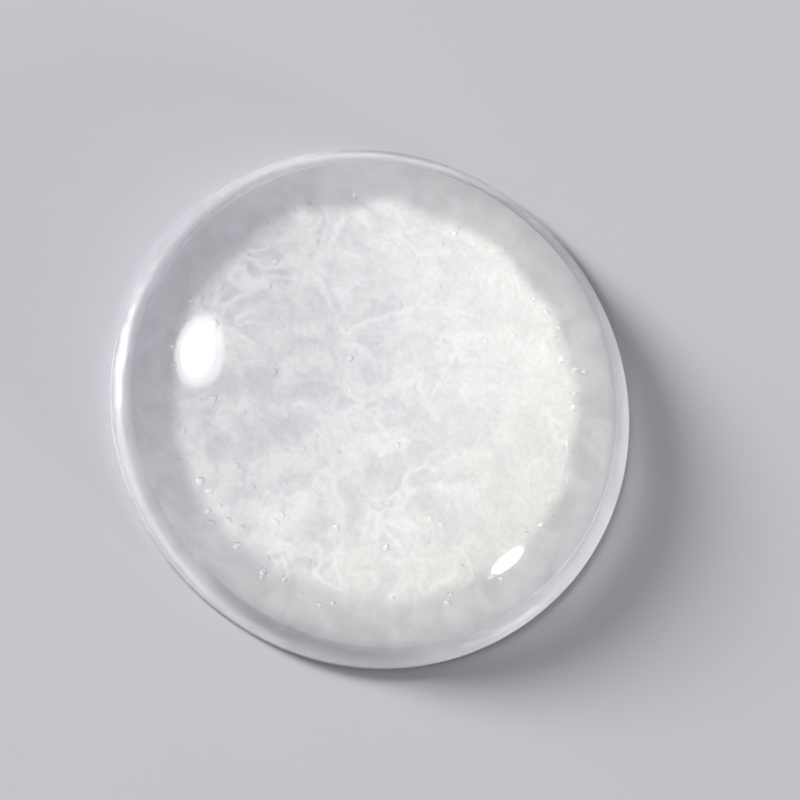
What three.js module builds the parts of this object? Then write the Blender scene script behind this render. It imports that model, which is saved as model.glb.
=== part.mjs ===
// A self-adhesive bumper for a cabinet door: a clear dome of cast polyurethane on an adhesive disc.
// The disc's underside is at z = 0 and the dome's axis is Z. Lengths are in millimetres.

import * as THREE from 'three';

// Driving dimensions
const FOOT_DIAMETER = 8.5;       // the dome where its wall would meet the skirt's top
const OVERALL_HEIGHT = 2.5;      // from the adhesive's underside to the crown
const WALL_HEIGHT = 0.25;        // the straight wall, measured along its slope
const WALL_DRAFT = 10;           // the wall's lean, in degrees from upright
const SHOULDER_RADIUS = 1.5;     // the round between the wall and the crown
const FOOT_FILLET = 0.2;         // the hollow round between the wall and the skirt
const SKIRT_WIDTH = 0.25;        // how far the cut edge stands outside the dome
const SKIRT_THICKNESS = 0.15;    // the cast film that is left round the dome's foot
const ADHESIVE_THICKNESS = 0.15;

// Fineness of the facets
const SIDES = 96;
const ARC_DIVISIONS = 6;

// One die cuts both pieces, so they share this radius.
const CUT_RADIUS = FOOT_DIAMETER / 2 + SKIRT_WIDTH;
const SKIRT_TOP = ADHESIVE_THICKNESS + SKIRT_THICKNESS;
const DRAFT = THREE.MathUtils.degToRad(WALL_DRAFT);

// The shoulder's arc starts where the wall ends, and its centre is a shoulder radius inside the wall.
function shoulderCentre() {
  const centre = new THREE.Vector2(FOOT_DIAMETER / 2, SKIRT_TOP);
  centre.x -= WALL_HEIGHT * Math.sin(DRAFT) + SHOULDER_RADIUS * Math.cos(DRAFT);
  centre.y += WALL_HEIGHT * Math.cos(DRAFT) - SHOULDER_RADIUS * Math.sin(DRAFT);
  return centre;
}

// The crown is the one arc that is level on the axis at full height and runs into the shoulder.
function crownRadius(shoulder) {
  const drop = OVERALL_HEIGHT - shoulder.y;
  return (shoulder.x ** 2 + drop ** 2 - SHOULDER_RADIUS ** 2) / (2 * (drop - SHOULDER_RADIUS));
}

// The fillet touches the wall and the skirt's top at the same distance from the corner between them.
function footFillet() {
  const reachPerRadius = Math.tan((Math.PI / 2 - DRAFT) / 2);
  const room = Math.min(WALL_HEIGHT, SKIRT_WIDTH);
  const radius = Math.min(FOOT_FILLET, room / reachPerRadius);
  return { radius, x: FOOT_DIAMETER / 2 + radius * reachPerRadius, y: SKIRT_TOP + radius };
}

// The body's outline, from the middle of its base out round the skirt and up to the crown.
function bodyOutline() {
  const shoulder = shoulderCentre();
  const crown = crownRadius(shoulder);
  const crownCentreY = OVERALL_HEIGHT - crown;
  const crownStart = Math.atan2(shoulder.y - crownCentreY, shoulder.x);
  const fillet = footFillet();

  const outline = new THREE.Path();
  outline.moveTo(0, ADHESIVE_THICKNESS);
  outline.lineTo(CUT_RADIUS, ADHESIVE_THICKNESS);
  outline.lineTo(CUT_RADIUS, SKIRT_TOP);
  outline.absarc(fillet.x, fillet.y, fillet.radius, -Math.PI / 2, DRAFT - Math.PI, true);
  outline.absarc(shoulder.x, shoulder.y, SHOULDER_RADIUS, DRAFT, crownStart, false);
  outline.absarc(0, crownCentreY, crown, crownStart, Math.PI / 2, false);
  return outline.getPoints(ARC_DIVISIONS);
}

function bumperBody() {
  const geometry = new THREE.LatheGeometry(bodyOutline(), SIDES);
  geometry.rotateX(Math.PI / 2);
  const material = new THREE.MeshStandardMaterial({ color: 0xd9dbdd, roughness: 0.08, metalness: 0 });
  const mesh = new THREE.Mesh(geometry, material);
  mesh.name = 'bumper_body';
  return mesh;
}

function adhesiveDisc() {
  const geometry = new THREE.CylinderGeometry(CUT_RADIUS, CUT_RADIUS, ADHESIVE_THICKNESS, SIDES);
  geometry.translate(0, ADHESIVE_THICKNESS / 2, 0);
  geometry.rotateX(Math.PI / 2);
  const material = new THREE.MeshStandardMaterial({ color: 0xebebe8, roughness: 0.6, metalness: 0 });
  const mesh = new THREE.Mesh(geometry, material);
  mesh.name = 'adhesive_disc';
  return mesh;
}

const bumper = new THREE.Group();
bumper.name = 'cabinet_door_bumper';
bumper.add(bumperBody(), adhesiveDisc());

export default bumper;
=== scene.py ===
# %% [markdown]
# A clear stick-on bumper for a cabinet door, on a pale floor.
# The real thing has two pieces. A drop of clear polyurethane is cast into a low dome with a thin
# skirt round its foot, and a milky film of acrylic adhesive lies under it. One die cuts both.
# The first cell loads the solids that were packed for this part. They give the sizes, and every
# piece below is made in the same frame: metres, Z up, the adhesive's underside at Z = 0.

# %% Load the frame
import math

import bmesh
import bpy
from mathutils import Matrix, Vector


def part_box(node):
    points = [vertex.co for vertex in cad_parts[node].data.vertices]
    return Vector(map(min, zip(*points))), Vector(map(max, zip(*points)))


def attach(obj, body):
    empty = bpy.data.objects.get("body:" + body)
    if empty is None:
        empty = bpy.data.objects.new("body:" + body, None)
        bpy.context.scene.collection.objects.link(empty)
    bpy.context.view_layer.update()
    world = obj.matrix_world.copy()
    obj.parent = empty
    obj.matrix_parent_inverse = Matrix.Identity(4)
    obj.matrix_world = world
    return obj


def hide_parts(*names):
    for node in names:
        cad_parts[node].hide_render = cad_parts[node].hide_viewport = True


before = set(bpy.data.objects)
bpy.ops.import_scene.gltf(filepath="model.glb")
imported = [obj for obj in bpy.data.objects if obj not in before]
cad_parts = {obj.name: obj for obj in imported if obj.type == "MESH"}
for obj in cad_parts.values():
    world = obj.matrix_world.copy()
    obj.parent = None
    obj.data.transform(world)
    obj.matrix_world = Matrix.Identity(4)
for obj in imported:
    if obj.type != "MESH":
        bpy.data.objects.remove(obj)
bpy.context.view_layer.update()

MM = 0.001


# %% [markdown]
# Some helpers are used everywhere. Blender's shaders work in linear light, while a colour is written
# as an sRGB hex value, so one function turns the second into the first. Another adds a node to
# a tree, sets its values and joins its inputs, which keeps each tree readable as a list.
# Most sockets are known by name. A Mix node is the exception: its numbers and its colours have the
# same names, so they are known by their places, and the places get names here.

# %% Helpers for colours, directions and nodes
FACTOR, NUMBER_A, NUMBER_B, COLOUR_A, COLOUR_B = 0, 2, 3, 6, 7
MIXED_COLOUR = 2


def linear(hex_colour):
    """The linear RGBA of an sRGB colour such as "#E7E7E5"."""
    channels = [int(hex_colour[i:i + 2], 16) / 255 for i in (1, 3, 5)]
    return [c / 12.92 if c <= 0.04045 else ((c + 0.055) / 1.055) ** 2.4 for c in channels] + [1.0]


def grey(level):
    """A grey that is linear already, as a share of the light."""
    return (level, level, level, 1)


def level_direction(degrees):
    """A direction along the floor, at an angle from X."""
    angle = math.radians(degrees)
    return (math.cos(angle), math.sin(angle), 0)


def add_node(tree, kind, inputs=(), stops=(), **settings):
    """Adds a node. inputs maps a socket's name or number to a value or to another node's socket.
    stops are a colour ramp's (position, colour) pairs, in rising order."""
    node = tree.nodes.new(kind)
    for i, (position, colour) in enumerate(stops):
        stop = node.color_ramp.elements[i] if i < 2 else node.color_ramp.elements.new(position)
        stop.position, stop.color = position, colour
    for name, value in settings.items():
        setattr(node, name, value)
    for key, value in dict(inputs).items():
        if isinstance(value, bpy.types.NodeSocket):
            tree.links.new(value, node.inputs[key])
        else:
            node.inputs[key].default_value = value
    return node


print("half of the sRGB scale is this share of the light:", round(linear("#808080")[0], 3))

# %% [markdown]
# The dome is a body of revolution, so its whole form is one section. From the axis it runs out
# along the base, up the cut edge, in through a hollow, and then up over the drop to the crown.
# The hollow is where the drop's skin turns out into the thin film that it was cast with. The die
# cuts through it while it still slopes a little, and what is left of it is the skirt.
# The cut radius, the height and the adhesive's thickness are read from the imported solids.

# %% Sizes of the section
_, disc_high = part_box("adhesive_disc")
_, body_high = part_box("bumper_body")
ROUNDING = 0.0001 * MM                  # keeps a rounding error from lifting the crown out of the box
CUT_RADIUS = body_high[0]
CROWN_Z = body_high[2] - ROUNDING
ADHESIVE_Z = disc_high[2]
SKIRT_WIDTH = 0.25 * MM
SKIRT_THICKNESS = 0.15 * MM
FOOT_RADIUS = CUT_RADIUS - SKIRT_WIDTH
SKIRT_Z = ADHESIVE_Z + SKIRT_THICKNESS
HOLLOW_RADIUS = 0.5 * MM
JOIN_RADIUS = FOOT_RADIUS - 0.04 * MM   # from the axis to where the drop meets the hollow
JOIN_SLOPE = math.radians(75)
EDGE_ROUND = 0.02 * MM                  # the die presses the cut's top edge down a little
print("foot radius and skirt height in mm:", round(FOOT_RADIUS / MM, 3), round(SKIRT_Z / MM, 3))

# %% [markdown]
# A drop of resin finds its own form before it cures. Surface tension bends its skin harder the
# deeper it goes, because the liquid inside presses harder there. So the crown is broad and shallow,
# and the shoulder tightens steadily down to the hollow, with no place where one arc meets another.
# How flat such a drop lies depends on one number, its weight against its surface tension. The
# number is searched for until the drop fits between the hollow and the crown. It also gives the
# resin's surface tension back, which is printed; for a resin that lies between 20 and 40 mN/m.

# %% The drop at rest
RESIN_DENSITY = 1100    # kilograms in a cubic metre
GRAVITY = 9.81
FLATTEST = 200          # where the search for the drop's flatness starts from above
HALVINGS = 50
SKIN_STEPS = 80         # rows of the mesh over the drop, in the hollow and round the cut's edge
HOLLOW_STEPS = 20
EDGE_STEPS = 4


def settled_drop(flatness):
    """A drop's skin as (radius, depth) points from the top, its top having a curvature of 1."""
    def travel(radius, depth, slope):
        round_the_axis = math.sin(slope) / radius if radius else 1
        bend = 2 + flatness * depth - round_the_axis
        return math.cos(slope) / bend, math.sin(slope) / bend

    step = JOIN_SLOPE / SKIN_STEPS
    points = [(0, 0)]
    for i in range(SKIN_STEPS):
        radius, depth = points[-1]
        out, down = travel(radius, depth, i * step)
        out, down = travel(radius + out * step / 2, depth + down * step / 2, (i + 0.5) * step)
        points.append((radius + out * step, depth + down * step))
    return points


def fitted_drop(join_radius, join_depth):
    """The settled drop that meets the hollow, as (radius, height) points from there up."""
    low, high = 0, FLATTEST
    for _ in range(HALVINGS):
        flatness = (low + high) / 2
        points = settled_drop(flatness)
        if points[-1][0] / points[-1][1] < join_radius / join_depth:
            low = flatness
        else:
            high = flatness
    top_radius = join_radius / points[-1][0]
    tension = RESIN_DENSITY * GRAVITY * top_radius ** 2 / flatness
    print(f"top radius {top_radius / MM:.2f} mm, surface tension {tension * 1000:.1f} mN/m")
    return [(radius * top_radius, CROWN_Z - depth * top_radius) for radius, depth in reversed(points)]


def arc(x, z, radius, start, end, steps):
    """Points along an arc, angles in radians from the X axis."""
    angles = [start + (end - start) * i / steps for i in range(steps + 1)]
    return [(x + radius * math.cos(a), z + radius * math.sin(a)) for a in angles]


def dome_section():
    """The clear body's outline as (radius, height) points, from the base's middle to the crown."""
    # The hollow touches the cut's rounded edge, and its radius decides how steep it still is there.
    edge_x, edge_z = CUT_RADIUS - EDGE_ROUND, SKIRT_Z - EDGE_ROUND
    hollow_x = JOIN_RADIUS + HOLLOW_RADIUS * math.sin(JOIN_SLOPE)
    centres_apart = EDGE_ROUND + HOLLOW_RADIUS
    cut_slope = math.asin((hollow_x - edge_x) / centres_apart)
    hollow_z = edge_z + centres_apart * math.cos(cut_slope)
    join_z = hollow_z - HOLLOW_RADIUS * math.cos(JOIN_SLOPE)
    print(f"slope at the cut {math.degrees(cut_slope):.1f} degrees, drop from {join_z / MM:.3f} mm up")
    down = -math.pi / 2
    return (
        [(0, ADHESIVE_Z), (CUT_RADIUS, ADHESIVE_Z)]
        + arc(edge_x, edge_z, EDGE_ROUND, 0, math.pi / 2 - cut_slope, EDGE_STEPS)
        + arc(hollow_x, hollow_z, HOLLOW_RADIUS, down - cut_slope, down - JOIN_SLOPE, HOLLOW_STEPS)[1:]
        + fitted_drop(JOIN_RADIUS, CROWN_Z - join_z)[1:]
    )


DOME_SECTION = dome_section()
print("points in the dome's section:", len(DOME_SECTION))

# %% [markdown]
# Geometry Nodes turn the section round the axis. The tree takes a flat grid, reads the section's
# point for each row and wraps the columns round Z, which is what a lathe does. A screw modifier
# would do the same, but here the cut edge can be roughened in the same pass: a steel-rule die
# leaves an edge that wanders by a few micrometres, always inwards from the nominal circle.
# Both pieces go through this tree, because the same die cuts both.

# %% The lathe, as a node tree
SAME_POINT = 1e-4 * MM      # closer points than this are merged, which closes the seam and the poles


def new_geometry_tree(name, sockets):
    """A geometry tree with named inputs and one geometry output. Returns it and its input sockets."""
    tree = bpy.data.node_groups.new(name, "GeometryNodeTree")
    for socket_name, socket_type in sockets:
        tree.interface.new_socket(socket_name, in_out="INPUT", socket_type=socket_type)
    tree.interface.new_socket("Geometry", in_out="OUTPUT", socket_type="NodeSocketGeometry")
    return tree, tree.nodes.new("NodeGroupInput").outputs


def finish_geometry(tree, mesh, material):
    """Ends a geometry tree: the mesh is made real and gets its material."""
    real = add_node(tree, "GeometryNodeRealizeInstances", {0: mesh})
    finish = add_node(tree, "GeometryNodeSetMaterial", {0: real.outputs[0], "Material": material})
    add_node(tree, "NodeGroupOutput", {0: finish.outputs[0]})
    return tree


def lathe_tree():
    """Turns a section round Z and roughens what lies at the cut radius."""
    tree, given = new_geometry_tree("turned_section", [
        ("Section", "NodeSocketGeometry"),
        ("Sides", "NodeSocketInt"),
        ("Cut Radius", "NodeSocketFloat"),
        ("Cut Wander", "NodeSocketFloat"),
        ("Wander Length", "NodeSocketFloat"),
        ("Seed", "NodeSocketFloat"),
        ("Finish", "NodeSocketMaterial"),
    ])
    # A unit grid: columns go round the axis, rows go along the section.
    size = add_node(tree, "GeometryNodeAttributeDomainSize", {0: given["Section"]})
    count = size.outputs["Point Count"]
    columns = add_node(tree, "ShaderNodeMath", {0: given["Sides"], 1: 1}, operation="ADD")
    grid = add_node(tree, "GeometryNodeMeshGrid",
                    {"Size X": 1, "Size Y": 1, "Vertices X": columns.outputs[0], "Vertices Y": count})
    place = add_node(tree, "GeometryNodeInputPosition")
    part = add_node(tree, "ShaderNodeSeparateXYZ", {0: place.outputs[0]})
    # The row's number picks the section's point.
    last = add_node(tree, "ShaderNodeMath", {0: count, 1: 1}, operation="SUBTRACT")
    along = add_node(tree, "ShaderNodeMath", {0: part.outputs["Y"], 1: 0.5}, operation="ADD")
    row = add_node(tree, "ShaderNodeMath", {0: along.outputs[0], 1: last.outputs[0]}, operation="MULTIPLY")
    number = add_node(tree, "ShaderNodeMath", {0: row.outputs[0]}, operation="ROUND")
    point = add_node(tree, "GeometryNodeSampleIndex",
                     {0: given["Section"], "Value": place.outputs[0], "Index": number.outputs[0]},
                     data_type="FLOAT_VECTOR")
    section = add_node(tree, "ShaderNodeSeparateXYZ", {0: point.outputs[0]})
    # The column gives the direction from the axis.
    turn = add_node(tree, "ShaderNodeMath", {0: part.outputs["X"], 1: math.tau}, operation="MULTIPLY")
    cosine = add_node(tree, "ShaderNodeMath", {0: turn.outputs[0]}, operation="COSINE")
    sine = add_node(tree, "ShaderNodeMath", {0: turn.outputs[0]}, operation="SINE")
    outward = add_node(tree, "ShaderNodeCombineXYZ", {0: cosine.outputs[0], 1: sine.outputs[0], 2: 0})
    # Noise along the cut, in lengths of wander, moves the cut edge inwards.
    waves = add_node(tree, "ShaderNodeMath", {0: given["Cut Radius"], 1: given["Wander Length"]},
                     operation="DIVIDE")
    where = add_node(tree, "ShaderNodeVectorMath", {0: outward.outputs[0], "Scale": waves.outputs[0]},
                     operation="SCALE")
    noise = add_node(tree, "ShaderNodeTexNoise",
                     {"Vector": where.outputs[0], "W": given["Seed"], "Scale": 1, "Detail": 3},
                     noise_dimensions="4D")
    at_cut = add_node(tree, "ShaderNodeMath",
                      {0: section.outputs["X"], 1: given["Cut Radius"], 2: EDGE_ROUND / 2},
                      operation="COMPARE")
    wander = add_node(tree, "ShaderNodeMath", {0: noise.outputs[0], 1: given["Cut Wander"]},
                      operation="MULTIPLY")
    inwards = add_node(tree, "ShaderNodeMath", {0: wander.outputs[0], 1: at_cut.outputs[0]},
                       operation="MULTIPLY")
    radius = add_node(tree, "ShaderNodeMath", {0: section.outputs["X"], 1: inwards.outputs[0]},
                      operation="SUBTRACT")
    across = add_node(tree, "ShaderNodeVectorMath", {0: outward.outputs[0], "Scale": radius.outputs[0]},
                      operation="SCALE")
    level = add_node(tree, "ShaderNodeCombineXYZ", {2: section.outputs["Z"]})
    turned_point = add_node(tree, "ShaderNodeVectorMath", {0: across.outputs[0], 1: level.outputs[0]},
                            operation="ADD")
    placed = add_node(tree, "GeometryNodeSetPosition",
                      {0: grid.outputs["Mesh"], "Position": turned_point.outputs[0]})
    closed = add_node(tree, "GeometryNodeMergeByDistance", {0: placed.outputs[0], "Distance": SAME_POINT})
    return finish_geometry(tree, closed.outputs[0], given["Finish"])


LATHE = lathe_tree()
print("lathe nodes:", len(LATHE.nodes))

# %% [markdown]
# The cast polyurethane is almost invisible in itself. The eye reads it from three things: mirror
# reflections of the lamps in a skin that set against air, the way its curve bends what is behind
# it, and a dull rim where the die went through. Its index is that of polyurethane, about 1.50.
# A drop's skin is smooth but not perfect: it has a faint swell about 1.5 mm long.
# Lamp light needs help. The renderer can't trace it from a lamp through a curved surface to what
# lies beneath, so rays towards a lamp pass straight through instead, tinted by how squarely they
# meet the skin. The steep shoulder, which faces the lamp, spreads its light thin. The crown gathers
# it, a trace yellower for the resin that it has crossed, and a ray that grazes the skin is mostly
# reflected away. The light that should follow a ray into the dome from outside has already been
# bent aside by the dome, which is why a clear bumper has a dark shadow.

# %% Finish of the clear body
RESIN_INDEX = 1.5
DOME_ROUGHNESS, FOOT_ROUGHNESS, CUT_ROUGHNESS = 0.1, 0.34, 0.45
SKIN_SWELL, SKIN_SWELL_DEPTH = 1.5 * MM, 0.0015 * MM
SKIRT_RIPPLE, SKIRT_RIPPLE_DEPTH = 0.45 * MM, 0.02 * MM
DRAG_MARK, DRAG_MARK_DEPTH = 0.025 * MM, 0.006 * MM     # real marks are finer than the render shows
DRAG_STRETCH = 0.15                                     # they run up the edge, so they are long in Z
# Lamp light through the skin, by how it is met: 0 is head-on and 1 only grazes it.
LAMP_LIGHT = [
    (0.05, (0.44, 0.45, 0.48, 1)),
    (0.18, (0.75, 0.75, 0.76, 1)),
    (0.32, (1, 1, 0.94, 1)),
    (0.42, (1, 1, 0.9, 1)),
    (0.5, (0.74, 0.73, 0.69, 1)),
    (0.6, grey(0.38)),
    (0.9, grey(0.24)),
]
LIGHT_FROM_OUTSIDE = grey(0.03)


def new_material(name):
    """An empty node material. Returns it, its tree and the piece's own coordinates in the tree."""
    material = bpy.data.materials.new(name)
    material.use_nodes = True
    tree = material.node_tree
    tree.nodes.clear()
    return material, tree, add_node(tree, "ShaderNodeTexCoord").outputs["Object"]


def distance_from_axis(tree, place):
    """How far from Z each shaded point lies."""
    flat = add_node(tree, "ShaderNodeVectorMath", {0: place, 1: (1, 1, 0)}, operation="MULTIPLY")
    return add_node(tree, "ShaderNodeVectorMath", {0: flat.outputs[0]}, operation="LENGTH").outputs["Value"]


def finish_clear(tree, shader, lamp_light):
    """Ends a clear material: a ray towards a lamp only gets the tint, any other meets the shader."""
    passing = add_node(tree, "ShaderNodeBsdfTransparent", {"Color": lamp_light})
    to_lamp = add_node(tree, "ShaderNodeLightPath").outputs["Is Shadow Ray"]
    surface = add_node(tree, "ShaderNodeMixShader",
                       {0: to_lamp, 1: shader.outputs[0], 2: passing.outputs[0]})
    add_node(tree, "ShaderNodeOutputMaterial", {"Surface": surface.outputs[0]})


def cast_polyurethane():
    """The clear body's finish, by how far out on the dome it is."""
    material, tree, place = new_material("cast_polyurethane")

    # Outwards the skin gets duller: glassy on the dome, satin at the foot, rough at the cut.
    distance = distance_from_axis(tree, place)
    foot = add_node(tree, "ShaderNodeMapRange",
                    {"Value": distance, "From Min": FOOT_RADIUS - SKIRT_WIDTH / 4, "From Max": FOOT_RADIUS})
    rim = add_node(tree, "ShaderNodeMapRange",
                   {"Value": distance, "From Min": CUT_RADIUS - EDGE_ROUND,
                    "From Max": CUT_RADIUS - EDGE_ROUND / 2})
    satin = add_node(tree, "ShaderNodeMapRange",
                     {"Value": foot.outputs[0], "To Min": DOME_ROUGHNESS, "To Max": FOOT_ROUGHNESS})
    roughness = add_node(tree, "ShaderNodeMapRange",
                         {"Value": rim.outputs[0], "To Min": satin.outputs[0], "To Max": CUT_ROUGHNESS})

    # Three reliefs: the drop's slow swell, ripples at the foot, and the die's upright drag marks.
    swell = add_node(tree, "ShaderNodeTexNoise", {"Vector": place, "Scale": 1 / SKIN_SWELL, "Detail": 1})
    skin = add_node(tree, "ShaderNodeBump",
                    {"Height": swell.outputs[0], "Strength": 1, "Distance": SKIN_SWELL_DEPTH})
    ripple = add_node(tree, "ShaderNodeTexNoise", {"Vector": place, "Scale": 1 / SKIRT_RIPPLE, "Detail": 2})
    skirt = add_node(tree, "ShaderNodeBump",
                     {"Height": ripple.outputs[0], "Strength": foot.outputs[0],
                      "Distance": SKIRT_RIPPLE_DEPTH, "Normal": skin.outputs[0]})
    upright = add_node(tree, "ShaderNodeVectorMath", {0: place, 1: (1, 1, DRAG_STRETCH)},
                       operation="MULTIPLY")
    drag = add_node(tree, "ShaderNodeTexNoise",
                    {"Vector": upright.outputs[0], "Scale": 1 / DRAG_MARK, "Detail": 2})
    cut = add_node(tree, "ShaderNodeBump",
                   {"Height": drag.outputs[0], "Strength": rim.outputs[0], "Distance": DRAG_MARK_DEPTH,
                    "Normal": skirt.outputs[0]})
    clear = add_node(tree, "ShaderNodeBsdfPrincipled",
                     {"Base Color": linear("#FDFDFD"), "Roughness": roughness.outputs[0],
                      "IOR": RESIN_INDEX, "Transmission Weight": 1, "Normal": cut.outputs[0]})

    facing = add_node(tree, "ShaderNodeLayerWeight", {"Blend": 0.5}).outputs["Facing"]
    through = add_node(tree, "ShaderNodeValToRGB", {0: facing}, stops=LAMP_LIGHT)
    leaving = add_node(tree, "ShaderNodeNewGeometry").outputs["Backfacing"]
    lamp_light = add_node(tree, "ShaderNodeMix",
                          {FACTOR: leaving, COLOUR_A: LIGHT_FROM_OUTSIDE, COLOUR_B: through.outputs[0]},
                          data_type="RGBA")
    finish_clear(tree, clear, lamp_light.outputs[MIXED_COLOUR])
    return material


polyurethane = cast_polyurethane()
print("clear body's shader nodes:", len(polyurethane.node_tree.nodes))

# %% [markdown]
# The adhesive is a milky acrylic film. Under the dome's middle it is frosted: countless pockets of
# air too small to see lie between it and the polyurethane. Near the edge the die has pressed the
# film down, so it is wetted out there and looks greyer. Painted shade darkens that ring further, most
# in a band just inside the foot.
# The frosted middle is mottled in three ways. The film flowed a little as it was rolled on, which
# dragged its clouds, a third of a millimetre wide, about by up to a millimetre. Pale creases run
# through patches of it, half a millimetre apart, and a fine speckle lies over all. The clouds fade
# out, and the film turns paler, towards one side. Painted light and shade lie over the film too: the
# ring is paler away from the key lamp and darker towards it, and painted shade darkens the frosted
# middle towards another side.
# The film lies against polyurethane of nearly the same index, so it hardly shines of itself.

# %% Finish of the adhesive
FROSTED_RADIUS = 3.1 * MM       # out to the front where the wetting stopped
FRONT_WIDTH = 0.28 * MM
FRONT_WANDER = 0.45 * MM        # between the noise's lowest and highest values
DRIFT = 1.1 * MM
CLOUD = 0.36 * MM
CREASE_SPACING = 0.5 * MM
CREASE_WIDTH = 0.08             # a crease ends this far from its noise's middle value
SPECKLE = 0.06 * MM             # the real one is finer, and would not show
RELIEF_DEPTH = 0.02 * MM
# Directions along the floor: painted light towards the first, fading clouds towards the second, and painted
# shade towards the third, which darkens the frosted middle to the share after it.
RING_LIT_SIDE = level_direction(5)
CLOUDS_FADE_SIDE = level_direction(45)
SHADED_SIDE = level_direction(-40)
SHADED_TONE = 0.86
ADHESIVE_INDEX = 1.47
ADHESIVE_ROUGHNESS = 0.55


def acrylic_adhesive():
    """The film's finish: frosted and mottled in the middle, wetted out and greyer near the edge, with
    painted light and shade.
    """
    material, tree, place = new_material("acrylic_adhesive")

    # The distance from the axis, which wanders a little, decides how well the film is wetted.
    front = add_node(tree, "ShaderNodeTexNoise", {"Vector": place, "Scale": 1 / DRIFT, "Detail": 3})
    centred = add_node(tree, "ShaderNodeMath", {0: front.outputs[0], 1: 0.5}, operation="SUBTRACT")
    distance = distance_from_axis(tree, place)
    wander = add_node(tree, "ShaderNodeMath", {0: centred.outputs[0], 1: FRONT_WANDER, 2: distance},
                      operation="MULTIPLY_ADD")
    wetted = add_node(tree, "ShaderNodeMapRange",
                      {"Value": wander.outputs[0], "From Min": FROSTED_RADIUS - FRONT_WIDTH / 2,
                       "From Max": FROSTED_RADIUS + FRONT_WIDTH / 2}, interpolation_type="SMOOTHSTEP")
    outwards = add_node(tree, "ShaderNodeMapRange",
                        {"Value": distance, "From Min": 0, "From Max": CUT_RADIUS})
    # Greyer where the film is wetted, with painted shade darkest in a band just inside the foot.
    ring_tone_and_shade = add_node(tree, "ShaderNodeValToRGB", {0: outwards.outputs[0]}, stops=[
        (FROSTED_RADIUS / CUT_RADIUS, linear("#A9A8AE")),
        ((FOOT_RADIUS - FRONT_WIDTH) / CUT_RADIUS, linear("#9C9BA2")),
        (FOOT_RADIUS / CUT_RADIUS, linear("#A9A8AF")),
        ((FOOT_RADIUS + SKIRT_WIDTH / 3) / CUT_RADIUS, linear("#C0BEC4")),
    ])
    # Painted light and shade: the ring is paler on the side away from the key lamp, darker towards it.
    lit_side_lean = add_node(tree, "ShaderNodeVectorMath", {0: place, 1: RING_LIT_SIDE}, operation="DOT_PRODUCT")
    painted_ring_light = add_node(tree, "ShaderNodeMapRange",
                         {"Value": lit_side_lean.outputs["Value"], "From Min": -CUT_RADIUS, "From Max": CUT_RADIUS,
                          "To Min": 0.1, "To Max": 0.3})
    wetted_and_lit_ring = add_node(tree, "ShaderNodeMix",
                   {FACTOR: painted_ring_light.outputs[0], COLOUR_A: ring_tone_and_shade.outputs[0],
                    COLOUR_B: linear("#D8D7DA")}, data_type="RGBA")

    # Clouds: a noise that another noise has pushed about, so that it seems to have flowed.
    push = add_node(tree, "ShaderNodeTexNoise", {"Vector": place, "Scale": 1 / DRIFT, "Detail": 2})
    pushed = add_node(tree, "ShaderNodeVectorMath",
                      {0: push.outputs["Color"], 1: (DRIFT, DRIFT, 0), 2: place},
                      operation="MULTIPLY_ADD")
    flow = add_node(tree, "ShaderNodeTexNoise",
                    {"Vector": pushed.outputs[0], "Scale": 1 / CLOUD, "Detail": 2})
    cloudy = add_node(tree, "ShaderNodeMapRange",
                      {"Value": flow.outputs[0], "From Min": 0.34, "From Max": 0.66},
                      interpolation_type="SMOOTHSTEP")
    # The clouds fade out, and the film turns paler, towards one side.
    towards_fade = add_node(tree, "ShaderNodeVectorMath", {0: place, 1: CLOUDS_FADE_SIDE}, operation="DOT_PRODUCT")
    fading = add_node(tree, "ShaderNodeMapRange",
                      {"Value": towards_fade.outputs["Value"], "From Min": -FROSTED_RADIUS / 2,
                       "From Max": FROSTED_RADIUS, "To Max": 0.8})
    clouds = add_node(tree, "ShaderNodeMix",
                      {FACTOR: fading.outputs[0], NUMBER_A: cloudy.outputs[0], NUMBER_B: 0.75})
    milky = add_node(tree, "ShaderNodeMix",
                     {FACTOR: clouds.outputs[0], COLOUR_A: linear("#CACACE"), COLOUR_B: linear("#DEDEDC")},
                     data_type="RGBA")

    # Creases: thin pale lines where another pushed noise passes its middle value, in patches.
    worms = add_node(tree, "ShaderNodeTexNoise",
                     {"Vector": pushed.outputs[0], "Scale": 1 / CREASE_SPACING, "Detail": 1})
    off_middle = add_node(tree, "ShaderNodeMath", {0: worms.outputs[0], 1: 0.5}, operation="SUBTRACT")
    away = add_node(tree, "ShaderNodeMath", {0: off_middle.outputs[0]}, operation="ABSOLUTE")
    line = add_node(tree, "ShaderNodeMapRange",
                    {"Value": away.outputs[0], "From Max": CREASE_WIDTH, "To Min": 1, "To Max": 0},
                    interpolation_type="SMOOTHSTEP")
    patch = add_node(tree, "ShaderNodeMapRange",
                     {"Value": push.outputs[0], "From Min": 0.44, "From Max": 0.6, "To Max": 0.8})
    crease = add_node(tree, "ShaderNodeMath", {0: line.outputs[0], 1: patch.outputs[0]},
                      operation="MULTIPLY")
    creased = add_node(tree, "ShaderNodeMix",
                       {FACTOR: crease.outputs[0], COLOUR_A: milky.outputs[MIXED_COLOUR],
                        COLOUR_B: linear("#E6E6E6")}, data_type="RGBA")

    speckle = add_node(tree, "ShaderNodeTexNoise", {"Vector": place, "Scale": 1 / SPECKLE, "Detail": 2})
    fine = add_node(tree, "ShaderNodeMapRange",
                    {"Value": speckle.outputs[0], "From Min": 0.35, "From Max": 0.65})
    frosting = add_node(tree, "ShaderNodeMix",
                        {FACTOR: fine.outputs[0], COLOUR_A: linear("#F4F4F4"), COLOUR_B: linear("#FFFFFF")},
                        data_type="RGBA")
    mottled = add_node(tree, "ShaderNodeMix",
                       {FACTOR: 1.0, COLOUR_A: creased.outputs[MIXED_COLOUR],
                        COLOUR_B: frosting.outputs[MIXED_COLOUR]}, data_type="RGBA", blend_type="MULTIPLY")
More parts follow.
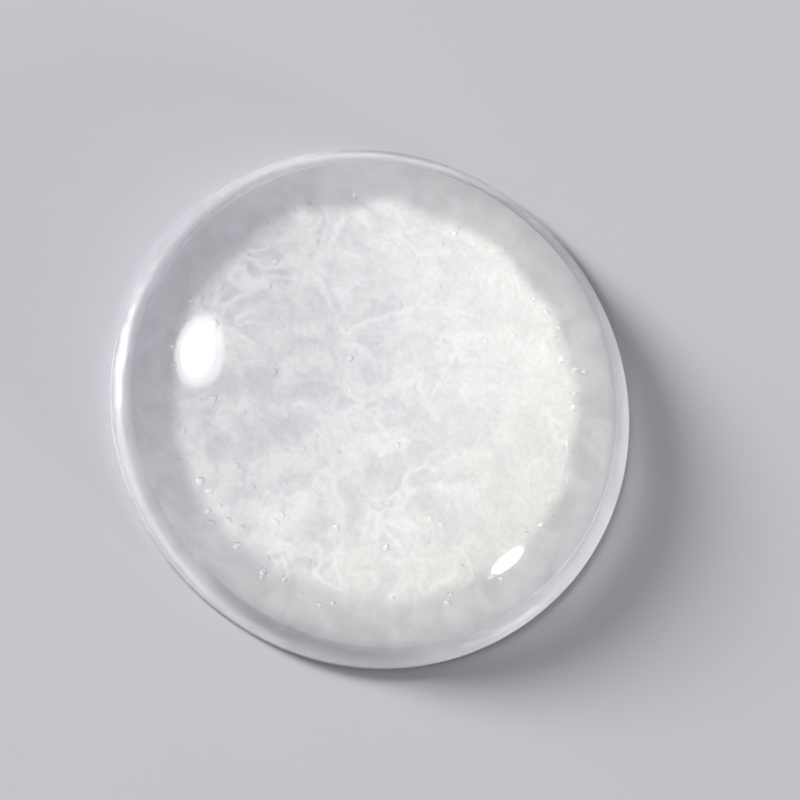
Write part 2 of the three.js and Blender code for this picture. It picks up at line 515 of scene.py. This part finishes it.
    # Painted shade: the frosted middle is darker towards one side, down to the share given.
    spread = add_node(tree, "ShaderNodeVectorMath", {0: place, 1: SHADED_SIDE}, operation="DOT_PRODUCT")
    side_shade = add_node(tree, "ShaderNodeMapRange",
                    {"Value": spread.outputs["Value"], "From Max": FROSTED_RADIUS,
                     "To Min": 1.0, "To Max": SHADED_TONE})
    frosted = add_node(tree, "ShaderNodeVectorMath",
                       {0: mottled.outputs[MIXED_COLOUR], "Scale": side_shade.outputs[0]}, operation="SCALE")
    # The pressed ring keeps a trace of the same clouds.
    trace = add_node(tree, "ShaderNodeMapRange",
                     {"Value": flow.outputs[0], "From Min": 0.36, "From Max": 0.64,
                      "To Min": 0.9, "To Max": 1.04})
    ring = add_node(tree, "ShaderNodeVectorMath",
                    {0: wetted_and_lit_ring.outputs[MIXED_COLOUR], "Scale": trace.outputs[0]}, operation="SCALE")
    colour = add_node(tree, "ShaderNodeMix",
                      {FACTOR: wetted.outputs[0], COLOUR_A: frosted.outputs[0], COLOUR_B: ring.outputs[0]},
                      data_type="RGBA")
    relief = add_node(tree, "ShaderNodeBump",
                      {"Height": flow.outputs[0], "Strength": 0.6, "Distance": RELIEF_DEPTH})
    film_shader = add_node(tree, "ShaderNodeBsdfPrincipled",
                           {"Base Color": colour.outputs[MIXED_COLOUR],
                            "Roughness": ADHESIVE_ROUGHNESS, "IOR": ADHESIVE_INDEX,
                            "Specular IOR Level": 0.1, "Normal": relief.outputs[0]})
    add_node(tree, "ShaderNodeOutputMaterial", {"Surface": film_shader.outputs[0]})
    return material


adhesive = acrylic_adhesive()
print("adhesive's shader nodes:", len(adhesive.node_tree.nodes))

# %% [markdown]
# Each piece starts as an object that holds only its section as a string of points. The modifier
# turns it, the result is copied out as a plain mesh, and the modifier goes. Normals are then made
# to point outwards, and edges sharper than 30 degrees are marked so that smooth shading keeps them.

# %% Turn the two pieces
SIDES = 256
CUT_WANDER = 0.012 * MM
WANDER_LENGTH = 0.35 * MM
SHARP_ANGLE = math.radians(30)
WETTING = 0.004 * MM        # the film wets the dome's base, so its top is a hair inside the clear body
FILM_INSET = 0.01 * MM      # the soft film springs back a little behind the dome's cut edge


def object_from(name, mesh):
    """An object that holds the mesh, linked to the scene."""
    piece = bpy.data.objects.new(name, mesh)
    bpy.context.scene.collection.objects.link(piece)
    return piece


def run_tree(piece, tree, values):
    """Runs a geometry tree on an object with these input values, and keeps the result as its mesh."""
    modifier = piece.modifiers.new(tree.name, "NODES")
    modifier.node_group = tree
    sockets = {s.name: s.identifier for s in tree.interface.items_tree if s.in_out == "INPUT"}
    for name, value in values.items():
        modifier[sockets[name]] = value
    evaluated = piece.evaluated_get(bpy.context.evaluated_depsgraph_get())
    mesh = bpy.data.meshes.new_from_object(evaluated)
    piece.modifiers.remove(modifier)
    piece.data = mesh
    mesh.name = piece.name

    shape = bmesh.new()
    shape.from_mesh(mesh)
    bmesh.ops.recalc_face_normals(shape, faces=shape.faces)
    volume = shape.calc_volume()
    open_edges = sum(not edge.is_manifold for edge in shape.edges)
    shape.to_mesh(mesh)
    shape.free()
    mesh.shade_smooth()
    mesh.set_sharp_from_angle(angle=SHARP_ANGLE)
    print(f"{piece.name}: {len(mesh.polygons)} faces, {open_edges} open edges, {volume / MM ** 3:.3f} mm3")
    return piece


def turned(name, section, finish, seed):
    """A piece turned from a section on the lathe tree."""
    mesh = bpy.data.meshes.new(name)
    points = [(radius, 0, height) for radius, height in section]
    mesh.from_pydata(points, [(i, i + 1) for i in range(len(points) - 1)], [])
    return run_tree(object_from(name, mesh), LATHE, {
        "Sides": SIDES, "Cut Radius": max(section)[0], "Cut Wander": CUT_WANDER,
        "Wander Length": WANDER_LENGTH, "Seed": seed, "Finish": finish,
    })


def film_section():
    """The adhesive's outline as (radius, height) points, from the underside's middle to the top's."""
    radius, top = CUT_RADIUS - FILM_INSET, ADHESIVE_Z + WETTING
    return [(0, 0), (radius, 0), (radius, top), (0, top)]


dome = turned("clear_dome", DOME_SECTION, polyurethane, seed=3)
film = turned("adhesive_film", film_section(), adhesive, seed=7)

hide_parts("bumper_body")
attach(dome, "root")
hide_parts("adhesive_disc")
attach(film, "root")

# %% [markdown]
# Where the clear body was pressed on to the film, some air stayed between them. The larger pockets
# can be seen one by one, as flecks a few hundredths of a millimetre wide with a bright or a dark
# rim. They lie anywhere under the middle, and thicker along the front where the wetting stopped.
# Each pocket is a flat lens: the film is its floor, so only its upper half lies in the clear body.
# A tree strews them over a ring and gives each its own size and turn. Small ones are commoner,
# which a cubed random number gives.

# %% Trapped air
LENS_SHAPE = (1, 0.75, 0.3)     # long, wide and high, against the pocket's size
DIMPLE, DIMPLE_DEPTH = 0.03 * MM, 0.004 * MM
AIR_LIGHT = [(0.2, grey(1)), (0.5, grey(0.6))]


def air_tree():
    """Strews flat lenses of air over a ring at one level."""
    tree, given = new_geometry_tree("strewn_lenses", [
        ("Count", "NodeSocketInt"),
        ("Inner Radius", "NodeSocketFloat"),
        ("Outer Radius", "NodeSocketFloat"),
        ("Smallest", "NodeSocketFloat"),
        ("Largest", "NodeSocketFloat"),
        ("Level", "NodeSocketFloat"),
        ("Seed", "NodeSocketInt"),
        ("Finish", "NodeSocketMaterial"),
    ])

    def chance(offset, high=1.0):
        """A random number from 0 up for each lens, from its own stream."""
        seed = add_node(tree, "ShaderNodeMath", {0: given["Seed"], 1: offset}, operation="ADD")
        return add_node(tree, "FunctionNodeRandomValue", {2: 0.0, 3: high, "Seed": seed.outputs[0]},
                        data_type="FLOAT").outputs[1]

    # An even spread over the ring's area: the square of the radius is what is picked evenly.
    inner = add_node(tree, "ShaderNodeMath", {0: given["Inner Radius"], 1: 2}, operation="POWER")
    outer = add_node(tree, "ShaderNodeMath", {0: given["Outer Radius"], 1: 2}, operation="POWER")
    squared = add_node(tree, "ShaderNodeMapRange",
                       {"Value": chance(0), "To Min": inner.outputs[0], "To Max": outer.outputs[0]})
    radius = add_node(tree, "ShaderNodeMath", {0: squared.outputs[0]}, operation="SQRT")
    angle = chance(1, high=math.tau)
    cosine = add_node(tree, "ShaderNodeMath", {0: angle}, operation="COSINE")
    sine = add_node(tree, "ShaderNodeMath", {0: angle}, operation="SINE")
    x = add_node(tree, "ShaderNodeMath", {0: radius.outputs[0], 1: cosine.outputs[0]}, operation="MULTIPLY")
    y = add_node(tree, "ShaderNodeMath", {0: radius.outputs[0], 1: sine.outputs[0]}, operation="MULTIPLY")
    spot = add_node(tree, "ShaderNodeCombineXYZ", {0: x.outputs[0], 1: y.outputs[0], 2: given["Level"]})
    points = add_node(tree, "GeometryNodePoints", {"Count": given["Count"], "Position": spot.outputs[0]})

    cubed = add_node(tree, "ShaderNodeMath", {0: chance(2), 1: 3}, operation="POWER")
    size = add_node(tree, "ShaderNodeMapRange",
                    {"Value": cubed.outputs[0], "To Min": given["Smallest"], "To Max": given["Largest"]})
    stretch = add_node(tree, "ShaderNodeVectorMath", {0: LENS_SHAPE, "Scale": size.outputs[0]},
                       operation="SCALE")
    turn = add_node(tree, "ShaderNodeCombineXYZ", {2: chance(3, high=math.tau)})
    ball = add_node(tree, "GeometryNodeMeshIcoSphere", {"Radius": 1, "Subdivisions": 2})
    lenses = add_node(tree, "GeometryNodeInstanceOnPoints",
                      {"Points": points.outputs[0], "Instance": ball.outputs[0],
                       "Rotation": turn.outputs[0], "Scale": stretch.outputs[0]})
    return finish_geometry(tree, lenses.outputs[0], given["Finish"])


def trapped_air():
    """Air inside polyurethane bends light the other way: its index against the clear body is 1 / 1.5."""
    material, tree, place = new_material("trapped_air")
    dimples = add_node(tree, "ShaderNodeTexNoise", {"Vector": place, "Scale": 1 / DIMPLE})
    skin = add_node(tree, "ShaderNodeBump",
                    {"Height": dimples.outputs[0], "Strength": 0.5, "Distance": DIMPLE_DEPTH})
    bubble = add_node(tree, "ShaderNodeBsdfPrincipled",
                      {"Base Color": linear("#FFFFFF"), "Roughness": 0.05, "IOR": 1 / RESIN_INDEX,
                       "Transmission Weight": 1, "Normal": skin.outputs[0]})
    facing = add_node(tree, "ShaderNodeLayerWeight", {"Blend": 0.5}).outputs["Facing"]
    dimmed = add_node(tree, "ShaderNodeValToRGB", {0: facing}, stops=AIR_LIGHT)
    finish_clear(tree, bubble, dimmed.outputs[0])
    return material


STREWN = air_tree()
air = trapped_air()


def pockets(name, count, inner, outer, smallest, largest, seed):
    """A ring of pockets, its radii and theirs in millimetres."""
    piece = run_tree(object_from(name, bpy.data.meshes.new(name)), STREWN, {
        "Count": count, "Inner Radius": inner * MM, "Outer Radius": outer * MM,
        "Smallest": smallest * MM, "Largest": largest * MM,
        "Level": ADHESIVE_Z + WETTING, "Seed": seed, "Finish": air,
    })
    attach(piece, "root")


pockets("air_under_middle", count=110, inner=0.2, outer=3.0, smallest=0.018, largest=0.07, seed=11)
pockets("air_along_front", count=90, inner=2.95, outer=3.3, smallest=0.02, largest=0.075, seed=12)

# %% [markdown]
# The camera looks down on the bumper at 71 degrees above the floor, from far off with a long lens,
# so the dome's outline stays nearly round. It is also rolled, which puts the direction that the
# bumper stands up in at the picture's upper right. The view is wide enough for the shadow, and is
# aimed a little towards it.

# %% Camera
TILT = math.radians(19.3)
ROLL = math.radians(45.9)
DISTANCE = 0.42
VIEW_WIDTH = 13.5 * MM
AIM_RIGHT, AIM_DOWN = 0.25 * MM, 0.1 * MM
SENSOR = 36.0
NEAREST = 0.01

level_right = Vector((1, 0, 0))
level_up = Vector((0, math.cos(TILT), math.sin(TILT)))
camera_back = Vector((0, -math.sin(TILT), math.cos(TILT)))
camera_right = level_right * math.cos(ROLL) + level_up * math.sin(ROLL)
camera_up = level_up * math.cos(ROLL) - level_right * math.sin(ROLL)

camera = bpy.data.objects.new("camera", bpy.data.cameras.new("camera"))
camera.data.sensor_width = SENSOR
camera.data.lens = SENSOR * DISTANCE / VIEW_WIDTH
camera.data.clip_start = NEAREST
look_at = Vector((0, 0, CROWN_Z / 2)) + camera_right * AIM_RIGHT - camera_up * AIM_DOWN
turn_matrix = Matrix((camera_right, camera_up, camera_back)).transposed().to_4x4()
camera.matrix_world = Matrix.Translation(look_at + camera_back * DISTANCE) @ turn_matrix
bpy.context.scene.collection.objects.link(camera)
bpy.context.scene.camera = camera
print("lens in mm:", round(camera.data.lens))

# %% [markdown]
# The set is plain: a pale matt floor, one soft lamp low on the picture's left, a weak one at its
# lower right, and a pale sky. The left lamp is a bright core with a wider diffuser round it, so its
# reflection in the dome is white with a soft edge. The lamps' places are given as angles in the
# picture and heights above the floor, because that is how a photographer would describe them.
# The sky that the camera and mirror-like surfaces see is paler than the one that lights the matt
# surfaces. So the floor's colour comes out about as it is written, and the dome still has a bright
# sky to reflect and bend.

# %% Floor, lamps and sky
FLOOR_SIZE = 1.0
FLOOR_GAP = 0.01 * MM           # keeps the floor's face and the adhesive's underside apart
FLOOR_CLOUDS = 120              # in a metre
LAMP_DISTANCE = 0.5
KEY_ANGLES = math.radians(154), math.radians(29.5)
FILL_ANGLES = math.radians(-36), math.radians(16)
SKY_LOW, SKY_HIGH = 0.5, 1.0    # its tone at the horizon and higher up
SKY_BLEND = 0.8                 # how high, as the rise of a direction of length 1
SKY_SEEN, SKY_LIGHT = 0.9, 0.27


def matt_board():
    """The floor's finish: painted board, almost even in tone."""
    material, tree, place = new_material("matt_board")
    cloud = add_node(tree, "ShaderNodeTexNoise", {"Vector": place, "Scale": FLOOR_CLOUDS, "Detail": 4})
    tone = add_node(tree, "ShaderNodeMix",
                    {FACTOR: cloud.outputs[0], COLOUR_A: linear("#C2C0C6"), COLOUR_B: linear("#C7C5CB")},
                    data_type="RGBA")
    board = add_node(tree, "ShaderNodeBsdfPrincipled",
                     {"Base Color": tone.outputs[MIXED_COLOUR], "Roughness": 0.7, "Specular IOR Level": 0.2})
    add_node(tree, "ShaderNodeOutputMaterial", {"Surface": board.outputs[0]})
    return material


def add_lamp(name, picture_angle, height_angle, width, height, watts):
    """An elliptical soft lamp, at an angle in the picture and one above the floor."""
    along = camera_right * math.cos(picture_angle) + camera_up * math.sin(picture_angle)
    along.z = 0
    towards = along.normalized() * math.cos(height_angle) + Vector((0, 0, math.sin(height_angle)))
    light = bpy.data.lights.new(name, "AREA")
    light.shape = "ELLIPSE"
    light.size, light.size_y = width, height
    light.energy = watts
    lamp = bpy.data.objects.new(name, light)
    facing_in = towards.to_track_quat("Z", "Y").to_matrix().to_4x4()
    lamp.matrix_world = Matrix.Translation(towards * LAMP_DISTANCE) @ facing_in
    bpy.context.scene.collection.objects.link(lamp)
    print(f"{name}: {watts} W from {[round(c, 2) for c in towards * LAMP_DISTANCE]} m")


half = FLOOR_SIZE / 2
corners = [(-half, -half, 0), (half, -half, 0), (half, half, 0), (-half, half, 0)]
floor_mesh = bpy.data.meshes.new("floor")
floor_mesh.from_pydata(corners, [], [(0, 1, 2, 3)])
floor_mesh.materials.append(matt_board())
floor = object_from("floor", floor_mesh)
floor.location.z = -FLOOR_GAP

add_lamp("key_core", *KEY_ANGLES, width=0.12, height=0.19, watts=2.6)
add_lamp("key_diffuser", *KEY_ANGLES, width=0.2, height=0.32, watts=1.05)
add_lamp("fill", *FILL_ANGLES, width=0.1, height=0.1, watts=0.5)

world = bpy.data.worlds.new("sky")
world.use_nodes = True
sky_tree = world.node_tree
sky_tree.nodes.clear()
direction = add_node(sky_tree, "ShaderNodeTexCoord").outputs["Generated"]
rise = add_node(sky_tree, "ShaderNodeSeparateXYZ", {0: direction}).outputs["Z"]
tone = add_node(sky_tree, "ShaderNodeMapRange",
                {"Value": rise, "From Max": SKY_BLEND, "To Min": SKY_LOW, "To Max": SKY_HIGH})
seen = add_node(sky_tree, "ShaderNodeBackground", {"Color": tone.outputs[0], "Strength": SKY_SEEN})
ambient = add_node(sky_tree, "ShaderNodeBackground", {"Color": linear("#F2F2F7"), "Strength": SKY_LIGHT})
path = add_node(sky_tree, "ShaderNodeLightPath").outputs
looked_at = add_node(sky_tree, "ShaderNodeMath", {0: path["Is Camera Ray"], 1: path["Is Glossy Ray"]},
                     operation="MAXIMUM")
bent = add_node(sky_tree, "ShaderNodeMath", {0: looked_at.outputs[0], 1: path["Is Transmission Ray"]},
                operation="MAXIMUM")
# A ray that left a matt surface asks how brightly it is lit, even where clear plastic bent it later.
unlit = add_node(sky_tree, "ShaderNodeMath", {0: path["Diffuse Depth"], 1: 0.5}, operation="LESS_THAN")
shown = add_node(sky_tree, "ShaderNodeMath", {0: bent.outputs[0], 1: unlit.outputs[0]},
                 operation="MULTIPLY")
sky = add_node(sky_tree, "ShaderNodeMixShader",
               {0: shown.outputs[0], 1: ambient.outputs[0], 2: seen.outputs[0]})
add_node(sky_tree, "ShaderNodeOutputWorld", {"Surface": sky.outputs[0]})
bpy.context.scene.world = world
bpy.context.scene.view_settings.view_transform = "Standard"
